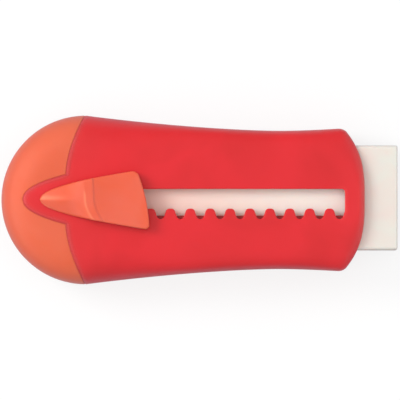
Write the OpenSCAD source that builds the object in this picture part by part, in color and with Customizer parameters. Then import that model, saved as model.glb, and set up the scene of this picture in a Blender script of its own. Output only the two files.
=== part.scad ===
// Retractable slide eraser, drawn lying on its back with the block's end towards +X.
// A pebble shaped case with a toothed slot and an end cap holds a white block on a holder.
// A thumb button runs on top of the slot, and a springy finger clicks into the notches.

/* [Eraser block] */
// Length of the white block
block_l = 60.2; // [57:0.1:64]
// Width of the white block
block_w = 21; // [19:0.1:23]
// Thickness of the white block
block_t = 11.5; // [10:0.1:13]
// Radius of the block's long edges
block_edge_r = 0.6; // [0.3:0.1:1.5]
// Distance of the block's middle from the case's middle line
block_off_y = 0.4; // [0:0.1:0.5]

/* [Case] */
// Thickness of the moulded walls
wall = 1.6; // [1.4:0.1:2]
// Spare width between the guides and the waist of the case
waist_spare = 0.15; // [0.1:0.05:1]
// How much wider the round rear end is than the waist, on each side
rear_flare = 3.1; // [2.5:0.1:4]
// How much wider the front corners are than the waist, on each side
front_flare = 0.4; // [0.1:0.1:0.8]
// Distance of the waist from the rear end
waist_x = 56; // [50:0.5:60]
// Radius of the front corners, seen from above
corner_r = 2.3; // [1.5:0.1:3]
// How far the bowed front edge falls back at the corners
bow_depth = 4.2; // [3.4:0.02:5]
// Power of the bow's curve, flatter in the middle when higher
bow_power = 3; // [2:0.1:4]
// Width of the rounded shoulder along the sides and the rear
shoulder_w = 7.4; // [6.5:0.1:8]
// Width of the rounded edge at the front, which starts at the edges of the mouth
front_edge = 1.2; // [1:0.1:2]
// Thickness of the front wall, with the mouth in it
front_wall = 3.2; // [3:0.1:4]

/* [Rack and slot] */
// Distance between two notches
pitch = 4; // [3.6:0.1:4.4]
// Number of steps from the first notch to the last
steps = 10; // [8:1:11]
// Distance of the first notch from the rear end of the case
first_notch_x = 28.1; // [27:0.1:30]
// Depth of a notch
notch_depth = 2.1; // [1.9:0.05:2.2]
// Slope of a tooth's sides away from upright, in degrees
flank = 18; // [12:1:22]
// Radius of a tooth's rounded tip corners
tip_r = 0.8; // [0.7:0.05:0.85]
// Distance between the centres of a tooth's two tip corners
tip_flat = 0.35; // [0.2:0.05:0.5]
// Smooth edge of the slot, from the case's middle line
slot_top_y = 2.08; // [1.9:0.02:2.3]
// Tooth tips, from the case's middle line
slot_low_y = 1.86; // [1.7:0.02:2]
// From the last notch to the front end of the slot
slot_past = 1.1; // [1:0.1:1.4]
// From the front end of the slot to the front of the case
slot_margin = 4; // [3.6:0.1:5]
// Radius of the slot's front corner
slot_r = 0.6; // [0.3:0.1:0.9]
// How far the thin shelf under the rack reaches into each notch
shelf_w = 0.7; // [0.5:0.1:1]
// Thickness of that shelf
shelf_t = 0.3; // [0.25:0.05:0.5]

/* [End cap] */
// How far the seam runs back from the widest place to the tongue
seam_back = 3.75; // [3:0.05:5]
// Half width of the tongue where it leaves the seam
tongue_half = 4.9; // [4.5:0.05:6]
// Distance of the tongue's tip from the rear end
tongue_tip_x = 4.55; // [3.5:0.05:5.5]
// Width of the groove between the case and the cap
seam_gap = 0.25; // [0.15:0.05:0.3]
// Thickness of the two snap lugs
lug_t = 1.1; // [0.9:0.1:1.2]
// How far the lugs reach into the case
lug_reach = 4.5; // [4:0.1:6]
// How far the snap bumps stand out of the lugs
bump_h = 0.6; // [0.5:0.05:0.7]

/* [Thumb button] */
// Length of the button along its middle
button_l = 21.3; // [20:0.1:23]
// Half width of the button at its front
button_half = 5.95; // [5:0.05:6.5]
// Height of the crest above the case
crest_h = 3.2; // [2.6:0.1:4]
// Height of the hollowed pad's lowest place above the case
pad_low_h = 2.6; // [2:0.1:2.7]
// Height of the pad at its front edge
pad_front_h = 2.85; // [2.5:0.05:3.2]
// Slant of the front edge, forward for each millimetre across
slant = 0.22; // [0:0.02:0.3]
// Running gap between the button and the case
button_gap = 0.2; // [0.15:0.05:0.3]

/* [Holder and finger] */
// Thickness of the bridge between the block and the top of the case
bridge_t = 0.8; // [0.7:0.05:1]
// Half width of the bridge
bridge_half = 7; // [6:0.1:8]
// Thickness of the plate behind the block
plate_t = 1.4; // [1:0.1:1.8]
// Thickness of the two side arms
arm_t = 0.9; // [0.8:0.05:1.1]
// Height of the side arms
arm_h = 6.6; // [5:0.1:7]
// Length of the block's end that the arms grip
grip_l = 8; // [7:0.1:8.5]
// Length of the neck along the slot
neck_l = 4.6; // [4:0.1:5]
// Thickness of the finger's springy arm
finger_t = 0.8; // [0.6:0.05:0.9]
// Length of the finger from its root to its nose
finger_l = 8.7; // [8:0.1:9.2]

/* [Clearances] */
// Running gap between the holder or the block and the case
slide_gap = 0.25; // [0.2:0.05:0.3]
// Gap between the block and the holder
grip_gap = 0.1; // [0.05:0.05:0.15]
// Gap between the neck or the finger and the edges of the slot
neck_gap = 0.3; // [0.2:0.05:0.35]
// Gap between the finger's nose and the round bottom of its notch
nose_gap = 0.2; // [0.1:0.05:0.3]

/* [Hidden] */
$fn = 32;
eps = 0.01;
// Heights, from the base up: wall, gap, block, gap, bridge, gap, wall
block_low_z = wall + slide_gap;
block_top_z = block_low_z + block_t;
bridge_low_z = block_top_z + grip_gap;
bridge_top_z = bridge_low_z + bridge_t;
ceiling_z = bridge_top_z + slide_gap;
case_h = ceiling_z + wall;
mouth_top_z = block_top_z + slide_gap;
mid_z = case_h / 2;
button_low_z = case_h + button_gap;
// Half widths of the case, worked out from what runs in it
arm_out = block_w / 2 + grip_gap + arm_t;
waist_half = block_off_y + arm_out + slide_gap + wall + waist_spare;
rear_r = waist_half + rear_flare;
front_half = waist_half + front_flare;
flare_power = 1.6;
// Lengths, from the rear end
travel = steps * pitch;
last_notch_x = first_notch_x + travel;
slot_front_x = last_notch_x + slot_past;
case_l = slot_front_x + slot_margin;
root_x = first_notch_x - finger_l;
root_l = 1.5;
neck_x = root_x + root_l;
slot_rear_x = root_x - 2 * slide_gap;
plate_x = slot_rear_x - plate_t / 2;
block_rear_x = plate_x + plate_t;
overall_l = block_rear_x + block_l;
cavity_front_x = case_l - front_wall;
// Front corner, tangent to the side and to the end of the bowed front edge
corner_a = atan(bow_depth * bow_power / front_half);
corner_x = case_l - bow_depth - corner_r * tan((90 - corner_a) / 2);
corner_y = front_half - corner_r;
bow_end_y = corner_y + corner_r * sin(corner_a);
// Front of the cavity, rounder than the case so that its corners are easy to mould
cavity_corner_r = 2.6;
cavity_bow_r = 28.4;
cavity_bow_x = case_l - wall - cavity_bow_r;
cavity_corner_y = front_half - wall - cavity_corner_r;
cavity_corner_x = cavity_bow_x + sqrt(pow(cavity_bow_r - cavity_corner_r, 2) - pow(cavity_corner_y, 2));
cavity_corner_a = atan2(cavity_corner_y, cavity_corner_x - cavity_bow_x);
// Shoulder: a rounded quarter that gets lower over the last stretch before the front
side_band = 1;
lowering_l = 14;
shoulder_end_x = case_l - lowering_l;
least_rise = 0.4;
// Fullness of that quarter at the rear, along the sides and at the front
full_rear = 2.4;
full_side = 4.6;
full_front = 2;
full_from_x = 20;
full_to_x = 45;
// Steps of the outline and of the shoulder
front_n = 8;
corner_n = 6;
side_n = 16;
rear_n = 12;
shoulder_n = 6;
// Seam and tongue curves
seam_power = 1.7;
tongue_power = 0.46;
tongue_root_x = rear_r - seam_back;
seam_n = 12;
tongue_n = 16;
// Button, whose middle line ends a little in front of the first notch
front_past_notch = 1.05;
button_front_x = first_notch_x + front_past_notch;
button_tip_x = button_front_x - button_l;
tail_l = 9.1;
crest_l = 1.7;
crest_x = button_tip_x + tail_l;
step_x = crest_x + crest_l;
side_fade = 4;
tip_h = 0.7;
side_power = 0.5;
front_bow = 0.016;
front_bow_l = 8;
front_bow_n = 6;
corner_low_r = 0.7;
corner_high_r = 1.2;
button_n = 26;
pad_n = 8;
// Snap lugs, which start inside the cap
lug_h = 5;
lug_root = 7;
bump_back = 2;
bump_r = 1;
bump_l = 4;
guide_t = 1.2;
// Neck beside the finger, and its peg in the holder
neck_low_y = finger_t + 2 * neck_gap - slot_low_y;
neck_w = slot_top_y - neck_gap - neck_low_y;
peg_inset = 0.8;
peg_gap = 0.05;
nose_half = 0.8;
finger_low_z = ceiling_z + shelf_t + slide_gap;

function smooth(v) = let (c = min(max(v, 0), 1)) c * c * (3 - 2 * c);
function blend(a, b, v) = a + (b - a) * v;

// Half width of the case at a distance x from the rear end
function half_at(x) =
    x < waist_x
    ? waist_half + rear_flare * pow((waist_x - max(x, rear_r)) / (waist_x - rear_r), flare_power)
    : waist_half + front_flare * pow((min(x, corner_x) - waist_x) / (corner_x - waist_x), flare_power);

// Distance of the bowed front edge from the rear end, at y from the middle line
function bow_at(y) = case_l - bow_depth * pow(y / front_half, bow_power);

// Front part of the outline on the +Y side, from the front tip to the end of the corner
function case_front() = concat(
    [for (i = [0:front_n])
        let (y = bow_end_y * i / front_n)
        [bow_at(y), y]],
    [for (i = [1:corner_n])
        let (a = corner_a + (90 - corner_a) * i / corner_n)
        [corner_x + corner_r * cos(a), corner_y + corner_r * sin(a)]]);
function cavity_front() = concat(
    [for (i = [0:front_n])
        let (a = cavity_corner_a * i / front_n)
        [cavity_bow_x + cavity_bow_r * cos(a), cavity_bow_r * sin(a)]],
    [for (i = [1:corner_n])
        let (a = cavity_corner_a + (90 - cavity_corner_a) * i / corner_n)
        [cavity_corner_x + cavity_corner_r * cos(a), cavity_corner_y + cavity_corner_r * sin(a)]]);

// Outline of the case, or of its cavity with w above 0, from the front tip to the rear tip on the +Y side
function half_outline(w) = concat(
    w > 0 ? cavity_front() : case_front(),
    [for (i = [1:side_n])
        let (
            start = w > 0 ? cavity_corner_x : corner_x,
            x = start + (rear_r - start) * i / side_n)
        [x, half_at(x) - w]],
    [for (i = [1:rear_n])
        let (a = 90 + 90 * i / rear_n)
        [rear_r + (rear_r - w) * cos(a), (rear_r - w) * sin(a)]]);

// Edge of the flat top below which the shoulder starts, for a point of the outer outline
function flat_x(x, w) =
    x < rear_r ? rear_r + (x - rear_r) * (rear_r - shoulder_w) / rear_r
    : x < shoulder_end_x ? x
    : shoulder_end_x + (x - shoulder_end_x)
        * (case_l - front_edge - w / 2 - shoulder_end_x) / (case_l - shoulder_end_x);
function flat_y(x, y) =
    let (h = half_at(min(x, shoulder_end_x))) y * (h - shoulder_w) / h;

function front_share(x) = smooth((x - shoulder_end_x) / (case_l - shoulder_end_x));
function shoulder_h(x, up) =
    blend(mid_z - side_band / 2, up ? case_h - mouth_top_z : wall, front_share(x));
function fullness(x) =
    blend(blend(full_rear, full_side, smooth((x - full_from_x) / (full_to_x - full_from_x))),
        full_front, front_share(x));

// One ring of the pebble, set in by w, at the angle t up the shoulder, on the top or the base
function half_ring(w, t, up) =
    let (outer = half_outline(0), inner = half_outline(w))
    [for (i = [0:len(outer) - 1])
        let (
            x = outer[i][0],
            e = 2 / fullness(x),
            in = 1 - pow(cos(t), e),
            rise = max(shoulder_h(x, up) - w, least_rise) * (1 - pow(sin(t), e)),
            px = inner[i][0] + (flat_x(x, w) - inner[i][0]) * in,
            py = inner[i][1] + (flat_y(x, outer[i][1]) - inner[i][1]) * in)
        [px, py, up ? case_h - w - rise : w + rise]];

function whole_ring(half) =
    let (n = len(half))
    concat(half, [for (i = [n - 2:-1:1]) [half[i][0], -half[i][1], half[i][2]]]);

// Closed pebble shape of the case and cap together, set in by w all round
module pebble(w) {
    angles = [for (i = [0:shoulder_n]) 90 * i / shoulder_n];
    low = [for (i = [shoulder_n:-1:0]) whole_ring(half_ring(w, angles[i], false))];
    high = [for (i = [0:shoulder_n]) whole_ring(half_ring(w, angles[i], true))];
    rings = concat(low, high);
    n = len(rings[0]);
    last = len(rings) - 1;
    polyhedron(
        points = [for (ring = rings) for (p = ring) p],
        faces = concat(
            [[for (i = [0:n - 1]) i]],
            [[for (i = [n - 1:-1:0]) last * n + i]],
            [for (r = [0:last - 1]) for (i = [0:n - 1]) [r * n + i, (r + 1) * n + i, (r + 1) * n + (i + 1) % n]],
            [for (r = [0:last - 1]) for (i = [0:n - 1]) [r * n + i, (r + 1) * n + (i + 1) % n, r * n + (i + 1) % n]]));
}

// Seam curve on the +Y side from the tongue's root outwards, moved forward by gap
function seam_side(gap) =
    [for (i = [0:seam_n])
        let (v = i / seam_n)
        [tongue_root_x + gap + seam_back * pow(v, seam_power), tongue_half + (rear_r - tongue_half) * v]];

// Tongue edge on the +Y side from its tip to its root, made larger by grow
function tongue_side(grow) =
    [for (i = [0:tongue_n])
        let (v = pow(i / tongue_n, 2))
        [tongue_tip_x - grow + (tongue_root_x - tongue_tip_x + grow) * v,
            (tongue_half + grow) * pow(v, tongue_power)]];

function mirrored(points) = [for (i = [len(points) - 1:-1:0]) [points[i][0], -points[i][1]]];

// Plan of what belongs to the case, in front of the seam; grow moves the seam to the cap's side
module case_plan(grow, with_tongue) {
    side = concat(
        with_tongue ? tongue_side(grow) : [],
        [for (p = seam_side(-grow)) if (p[1] > tongue_half + grow) p],
        [[rear_r - grow + 1, rear_r + 2], [case_l + 1, rear_r + 2]]);
    polygon(concat(side, mirrored(side)));
}

// The same plan through the whole height, with the tongue on the upper half only
module case_region(grow) {
    translate([0, 0, -1]) linear_extrude(mid_z + 1 + eps) case_plan(grow, false);
    translate([0, 0, mid_z]) linear_extrude(mid_z + 1) case_plan(grow, true);
}

// Radius of a notch's round bottom, tangent to both flanks
function notch_r() =
    ((pitch - tip_flat) / 2 * cos(flank) - notch_depth * sin(flank)) / (1 - sin(flank)) - tip_r;

// Gap between two teeth, around x = 0, down from the tooth tips at y = 0
module notch_plan() {
    c = (pitch - tip_flat) / 2;
    r = notch_r();
    polygon(concat(
        [[-c, eps]],
        [for (a = [90:-12:flank]) [-c + tip_r * cos(a), -tip_r + tip_r * sin(a)]],
        [for (a = [180 + flank:12:360 - flank]) [r * cos(a), r - notch_depth + r * sin(a)]],
        [for (a = [180 - flank:-12:90]) [c + tip_r * cos(a), -tip_r + tip_r * sin(a)]],
        [[c, eps]]));
}

function notch_low_y() = -slot_low_y - notch_depth;

// Plan of the slot with its notches
module slot_plan() {
    translate([slot_rear_x, -slot_low_y]) square([slot_front_x - slot_rear_x, slot_low_y]);
    translate([slot_rear_x, -eps]) square([slot_front_x - slot_rear_x, slot_top_y - slot_r + eps]);
    translate([slot_rear_x, 0]) square([slot_front_x - slot_r - slot_rear_x, slot_top_y]);
    translate([slot_front_x - slot_r, slot_top_y - slot_r]) circle(slot_r);
    intersection() {
        for (i = [0:steps]) translate([first_notch_x + i * pitch, -slot_low_y]) notch_plan();
        translate([slot_rear_x, notch_low_y() - notch_depth])
            square([slot_front_x - slot_rear_x, 3 * notch_depth]);
    }
}

// The slot through the top wall, narrower where the shelf closes the ends of its notches
module slot_cut() {
    translate([0, 0, ceiling_z + shelf_t]) linear_extrude(wall + 1) slot_plan();
    translate([0, 0, ceiling_z - 1]) linear_extrude(shelf_t + 1 + eps) intersection() {
        slot_plan();
        translate([0, notch_low_y() + shelf_w]) square([case_l, slot_top_y - notch_low_y()]);
    }
}

// Straight walls that guide the holder's arms along the wide rear of the case
module guides() {
    for (s = [-1, 1])
        translate([slot_rear_x - 2, s > 0 ? block_off_y + arm_out + slide_gap
                : block_off_y - arm_out - slide_gap - guide_t, 0])
            cube([cavity_front_x - slot_rear_x + 3, guide_t, case_h]);
}

// Recess in the case's side walls for the cap's snap bumps
module bump_at(r, l) {
    for (s = [-1, 1])
        translate([rear_r + lug_reach - bump_back, s * (lug_out_y() - bump_r + bump_h), mid_z - l / 2])
            cylinder(r = r, h = l);
}

function lug_out_y() = half_at(rear_r + lug_reach) - wall - slide_gap;

// Hollow inside the case, with the guides left standing
module cavity() {
    difference() {
        intersection() {
            pebble(wall);
            translate([-1, -rear_r, 0]) cube([cavity_front_x + 1, 2 * rear_r, case_h]);
        }
        guides();
    }
}

// Straight way for the block, out through the mouth
module block_way() {
    translate([plate_x, block_off_y - block_w / 2 - slide_gap, wall])
        cube([case_l - plate_x + 1, block_w + 2 * slide_gap, mouth_top_z - wall]);
}

module case_sleeve() {
    color("#e8383c") translate([-overall_l / 2, 0, 0]) difference() {
        intersection() {
            pebble(0);
            case_region(0);
        }
        cavity();
        block_way();
        slot_cut();
        bump_at(bump_r + slide_gap, bump_l + 2 * slide_gap);
    }
}

module end_cap() {
    color("#f46e4e") translate([-overall_l / 2, 0, 0]) union() {
        difference() {
            pebble(0);
            pebble(wall);
            case_region(seam_gap);
        }
        for (s = [-1, 1])
            translate([rear_r - lug_root, s > 0 ? lug_out_y() - lug_t : -lug_out_y(), mid_z - lug_h / 2])
                cube([lug_root + lug_reach, lug_t, lug_h]);
        bump_at(bump_r, bump_l);
    }
}

// Half width of the button at a distance x from the rear end
function button_half_at(x) = button_half * pow(max(x - button_tip_x, 0) / button_l, side_power);

// Height of the button's top above the case along its middle line
function crest_line(x) =
    x < crest_x ? blend(tip_h, crest_h, pow(max(x - button_tip_x, 0) / tail_l, 0.8))
    : x < step_x ? blend(crest_h, pad_low_h, smooth((x - crest_x) / crest_l))
    : blend(pad_low_h, pad_front_h, pow((x - step_x) / (button_front_x - step_x), 2));

// How much lower the button's sides are than its middle line
function side_drop(x) = 0.5 * crest_line(x) * (1 - smooth((x - crest_x) / side_fade + 1));

// Top of the button over a patch a little wider than its plan, closed by a flat underside
module button_top() {
    row = pad_n + 1;
    count = (button_n + 1) * row;
    top = [for (i = [0:button_n]) for (j = [0:pad_n])
        let (
            x = button_tip_x - 1 + (button_l + 3) * i / button_n,
            half = max(button_half_at(x), corner_high_r),
            across = 2 * j / pad_n - 1)
        [x, across * (half + 0.5), case_h + crest_line(x) - min(abs(across) * (half + 0.5) / half, 1) * side_drop(x)]];
    low = [for (p = top) [p[0], p[1], button_low_z]];
    rim = concat(
        [for (j = [0:pad_n - 1]) j],
        [for (i = [0:button_n - 1]) i * row + pad_n],
        [for (j = [pad_n:-1:1]) button_n * row + j],
        [for (i = [button_n:-1:1]) i * row]);
    cells = [for (i = [0:button_n - 1]) for (j = [0:pad_n - 1]) i * row + j];
    polyhedron(
        points = concat(top, low),
        faces = concat(
            [for (c = cells) [c, c + 1, c + row + 1]],
            [for (c = cells) [c, c + row + 1, c + row]],
            [for (c = cells) [count + c + row, count + c + row + 1, count + c + 1]],
            [for (c = cells) [count + c + row, count + c + 1, count + c]],
            [for (k = [0:len(rim) - 1])
                let (a = rim[k], b = rim[(k + 1) % len(rim)])
                [a, count + a, count + b, b]]));
}

// Rounded front corner of the button, on the side s of its middle line, from angle a0 to a1
function front_corner(s, r, a0, a1) =
    let (
        y = s * (button_half_at(button_front_x - s * slant * button_half - r) - r),
        x = button_front_x - slant * y - r * sqrt(1 + slant * slant))
    [for (i = [0:6])
        let (a = blend(a0, a1, i / 6))
        [x + r * cos(a), y + r * sin(a)]];

// Point of the button's plan, moved back by the slight bow of its front edge
function bowed(p) =
    [p[0] - front_bow * p[1] * p[1] * smooth((p[0] - button_front_x) / front_bow_l + 1), p[1]];

// Plan of the button: a pointed tail that widens to a slanted, slightly bowed front edge
module button_plan() {
    face_a = atan(slant);
    low = front_corner(-1, corner_low_r, -90, face_a);
    high = front_corner(1, corner_high_r, face_a, 90);
    tail = [for (i = [0:button_n]) pow(i / button_n, 1.8)];
    outline = concat(
        [for (v = tail)
            let (x = button_tip_x + (low[0][0] - 0.4 - button_tip_x) * v)
            [x, -button_half_at(x)]],
        low,
        [for (i = [1:front_bow_n - 1]) blend(low[6], high[0], i / front_bow_n)],
        high,
        [for (i = [button_n:-1:1])
            let (x = button_tip_x + (high[6][0] - 0.4 - button_tip_x) * tail[i])
            [x, button_half_at(x)]]);
    polygon([for (p = outline) bowed(p)]);
}

// Neck through the slot, and the peg below it that fills the holder's hole; grow widens the peg
module neck_peg(grow) {
    translate([neck_x + peg_inset - grow, neck_low_y + peg_inset / 2 - grow, bridge_low_z])
        cube([neck_l - 2 * peg_inset + 2 * grow, neck_w - peg_inset + 2 * grow, bridge_t + eps]);
}

module thumb_button() {
    color("#f4704f") translate([-overall_l / 2, 0, 0]) union() {
        intersection() {
            button_top();
            translate([0, 0, button_low_z - 1]) linear_extrude(crest_h + 2) button_plan();
        }
        translate([neck_x, neck_low_y, bridge_top_z])
            cube([neck_l, neck_w, button_low_z - bridge_top_z + button_gap]);
        neck_peg(0);
    }
}

module eraser_holder() {
    arm_y = block_w / 2 + grip_gap;
    color("#f4704f") translate([-overall_l / 2, 0, 0]) difference() {
        translate([plate_x, block_off_y, 0]) union() {
            translate([0, -arm_out, mid_z - arm_h / 2]) cube([plate_t, 2 * arm_out, arm_h]);
            translate([0, -bridge_half, block_low_z]) cube([plate_t, 2 * bridge_half, bridge_top_z - block_low_z]);
            translate([0, -bridge_half, bridge_low_z]) cube([plate_t + grip_l, 2 * bridge_half, bridge_t]);
            for (y = [arm_y, -arm_out])
                translate([0, y, mid_z - arm_h / 2]) cube([plate_t + grip_l, arm_t, arm_h]);
        }
        translate([0, 0, -bridge_t / 2]) neck_peg(peg_gap);
        neck_peg(peg_gap);
    }
}

// The finger: a root behind the neck, a thin arm beside it, and a nose in the first notch
module detent_finger() {
    low_y = neck_gap - slot_low_y;
    color("#f4704f") translate([-overall_l / 2, 0, 0]) {
        translate([root_x, low_y, bridge_top_z])
            cube([root_l, slot_low_y + slot_top_y - 2 * neck_gap, button_low_z - bridge_top_z]);
        translate([0, 0, finger_low_z]) linear_extrude(button_low_z - finger_low_z) {
            translate([root_x, low_y]) square([finger_l + nose_half, finger_t]);
            hull() {
                translate([first_notch_x - nose_half, low_y]) square([2 * nose_half, finger_t / 2]);
                translate([first_notch_x, notch_low_y() + notch_r()]) circle(notch_r() - nose_gap);
            }
        }
    }
}

module eraser_block() {
    color("#efe8dd") translate([block_rear_x - overall_l / 2, block_off_y, block_low_z]) rotate([90, 0, 90])
        linear_extrude(block_l) {
            translate([block_edge_r - block_w / 2, 0]) square([block_w - 2 * block_edge_r, block_t]);
            translate([-block_w / 2, block_edge_r]) square([block_w, block_t - 2 * block_edge_r]);
            for (sx = [-1, 1], z = [block_edge_r, block_t - block_edge_r])
                translate([sx * (block_w / 2 - block_edge_r), z]) circle(block_edge_r);
        }
}

case_sleeve();
end_cap();
thumb_button();
eraser_holder();
detent_finger();
eraser_block();
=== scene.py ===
import math
import bpy
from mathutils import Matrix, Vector


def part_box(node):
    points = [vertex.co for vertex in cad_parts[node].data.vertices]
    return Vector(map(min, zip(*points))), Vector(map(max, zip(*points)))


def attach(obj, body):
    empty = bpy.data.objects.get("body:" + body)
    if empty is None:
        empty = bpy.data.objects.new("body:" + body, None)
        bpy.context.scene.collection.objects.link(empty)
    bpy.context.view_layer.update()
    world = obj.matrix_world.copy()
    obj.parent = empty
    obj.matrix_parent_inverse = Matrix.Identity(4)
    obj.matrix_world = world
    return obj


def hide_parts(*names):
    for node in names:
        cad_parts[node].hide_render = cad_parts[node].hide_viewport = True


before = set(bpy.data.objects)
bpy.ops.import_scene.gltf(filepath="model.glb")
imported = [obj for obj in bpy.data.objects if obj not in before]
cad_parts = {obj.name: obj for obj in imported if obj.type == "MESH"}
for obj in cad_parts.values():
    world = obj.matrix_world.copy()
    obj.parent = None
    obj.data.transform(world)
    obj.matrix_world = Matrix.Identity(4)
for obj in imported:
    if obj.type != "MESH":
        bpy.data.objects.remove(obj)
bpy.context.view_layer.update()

mm = 0.001


def boxOf(node):
    low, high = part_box(node)
    return Vector(low) / mm, Vector(high) / mm


sleeveHigh = boxOf("case_sleeve")[1]
blockLow, blockHigh = boxOf("eraser_block")
rearX = boxOf("end_cap")[0].x  # lengths below are measured from the rear end


# The pebble form that the case and the cap share, in millimetres
form = {
    "length": sleeveHigh.x - rearX,
    "height": sleeveHigh.z,
    "rearRadius": sleeveHigh.y,
    "waistHalf": sleeveHigh.y - 3.1,
    "frontHalf": sleeveHigh.y - 2.7,
    "waistX": 56,
    "flarePower": 1.6,
    "cornerRadius": 2.3,
    "bowDepth": 4.2,
    "bowPower": 3,
    "shoulder": 7.4,
    "frontEdge": 1.2,
    "band": 1,
    "blendLength": 14,
    "fullRear": 2.4,
    "fullSide": 4.6,
    "fullFront": 2,
    "fullFrom": 20,
    "fullOver": 25,
    "wall": 1.6,
    "slideGap": 0.25,
}
form["ceiling"] = form["height"] - form["wall"]
form["mouthTop"] = blockHigh.z + form["slideGap"]
form["cornerLean"] = math.atan(form["bowDepth"] * form["bowPower"] / form["frontHalf"])
form["cornerX"] = (form["length"] - form["bowDepth"]
                   - form["cornerRadius"] * math.tan((math.pi / 2 - form["cornerLean"]) / 2))
form["cornerY"] = form["frontHalf"] - form["cornerRadius"]
form["blendX"] = form["length"] - form["blendLength"]

seam = {
    "back": 3.75,
    "power": 1.7,
    "tongueHalf": 4.9,
    "tongueTip": 4.55,
    "tonguePower": 0.46,
    "gap": 0.25,
}
seam["root"] = form["rearRadius"] - seam["back"]


def smooth(v):
    v = min(max(v, 0), 1)
    return v * v * (3 - 2 * v)


def blend(a, b, v):
    return a + (b - a) * v


def spot(x, y, z):
    return Vector(((x + rearX) * mm, y * mm, z * mm))


def halfAt(x):
    if x < form["waistX"]:
        share = (form["waistX"] - max(x, form["rearRadius"])) / (form["waistX"] - form["rearRadius"])
        return blend(form["waistHalf"], form["rearRadius"], share ** form["flarePower"])
    share = (min(x, form["cornerX"]) - form["waistX"]) / (form["cornerX"] - form["waistX"])
    return blend(form["waistHalf"], form["frontHalf"], share ** form["flarePower"])


def frontShare(x):
    return smooth((x - form["blendX"]) / form["blendLength"])


def fullness(x):
    share = smooth((x - form["fullFrom"]) / form["fullOver"])
    return blend(blend(form["fullRear"], form["fullSide"], share), form["fullFront"], frontShare(x))


def shoulderHeight(x, top):
    edge = form["height"] - form["mouthTop"] if top else form["wall"]
    return blend((form["height"] - form["band"]) / 2, edge, frontShare(x))


def flatPoint(x, y):
    half = halfAt(min(x, form["blendX"]))
    inner = form["length"] - form["frontEdge"]
    flatX = x
    if x > form["blendX"]:
        flatX = blend(form["blendX"], inner, (x - form["blendX"]) / form["blendLength"])
    return flatX, y * (half - form["shoulder"]) / half


def shoulderSpot(x, y, turn, top):
    # a point on the rounded shoulder above or below the outline point x, y
    power = 2 / fullness(x)
    inward = 1 - math.cos(turn) ** power
    drop = shoulderHeight(x, top) * (1 - math.sin(turn) ** power)
    flatX, flatY = flatPoint(x, y)
    z = form["height"] - drop if top else drop
    return spot(blend(x, flatX, inward), blend(y, flatY, inward), z)


def domeSpot(radius, angle, top):
    # a point on the round rear end, by its distance and angle from the middle of the rear
    u = min(max(form["rearRadius"] - radius, 0) / form["shoulder"], 1)
    rise = (1 - (1 - u) ** form["fullRear"]) ** (1 / form["fullRear"])
    drop = shoulderHeight(0, top) * (1 - rise)
    z = form["height"] - drop if top else drop
    return spot(form["rearRadius"] + radius * math.cos(angle), radius * math.sin(angle), z)


def bowX(y):
    return form["length"] - form["bowDepth"] * (y / form["frontHalf"]) ** form["bowPower"]


def reachOf(point):
    return math.hypot(point[0] - form["rearRadius"], point[1])


def curveAngle(radius, curve):
    # angle at which a plan curve is this far from the middle of the round rear
    near, far = (0, 1) if reachOf(curve(0)) < reachOf(curve(1)) else (1, 0)
    for step in range(40):
        middle = (near + far) / 2
        if reachOf(curve(middle)) < radius:
            near = middle
        else:
            far = middle
    x, y = curve(near)
    return math.atan2(y, x - form["rearRadius"])


def seamCurve(gap):
    return lambda v: (
        seam["root"] - gap + seam["back"] * v ** seam["power"],
        blend(seam["tongueHalf"], form["rearRadius"], v))


def tongueCurve(gap):
    tip = seam["tongueTip"] - gap
    half = seam["tongueHalf"] + gap
    return lambda v: (blend(tip, seam["root"], v), half * v ** seam["tonguePower"])


def seamCorner(gap):
    # where the seam meets the edge of the tongue
    low, high = 0, 0.2
    for step in range(40):
        middle = (low + high) / 2
        x, y = seamCurve(gap)(middle)
        tip, root = [tongueCurve(gap)(v)[0] for v in (0, 1)]
        if y < tongueCurve(gap)((x - tip) / (root - tip))[1]:
            low = middle
        else:
            high = middle
    return reachOf(seamCurve(gap)(low))


print("form ready:", round(form["length"], 1), "mm long case")


def startPiece(name):
    piece = bpy.context.object
    piece.name = name
    piece.data.name = name
    return piece


def pickOnly(piece):
    bpy.ops.object.select_all(action="DESELECT")
    piece.select_set(True)
    bpy.context.view_layer.objects.active = piece


def editOnly(piece, kind):
    pickOnly(piece)
    bpy.ops.object.mode_set(mode="EDIT")
    bpy.ops.mesh.select_mode(type=kind)
    bpy.ops.mesh.select_all(action="DESELECT")


def applyModifier(piece, name, kind, settings):
    pickOnly(piece)
    modifier = piece.modifiers.new(name, kind)
    for key, value in settings.items():
        setattr(modifier, key, value)
    bpy.ops.object.modifier_apply(modifier=modifier.name)


def formedGrid(name, columns, rows, place):
    # a flat grid whose vertices are then laid on the form
    bpy.ops.object.select_all(action="DESELECT")
    bpy.ops.mesh.primitive_grid_add(x_subdivisions=columns - 1, y_subdivisions=rows - 1, size=1)
    piece = startPiece(name)
    for vertex in piece.data.vertices:
        column = round((vertex.co.x + 0.5) * (columns - 1))
        row = round((vertex.co.y + 0.5) * (rows - 1))
        vertex.co = place(column, row)
    return piece


def formedPlate(name, points):
    # a disc with the right count of edges, laid on a flat outline
    bpy.ops.object.select_all(action="DESELECT")
    bpy.ops.mesh.primitive_circle_add(vertices=len(points), radius=1, fill_type="NGON")
    piece = startPiece(name)
    for vertex, point in zip(piece.data.vertices, points):
        vertex.co = point
    return piece


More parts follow.
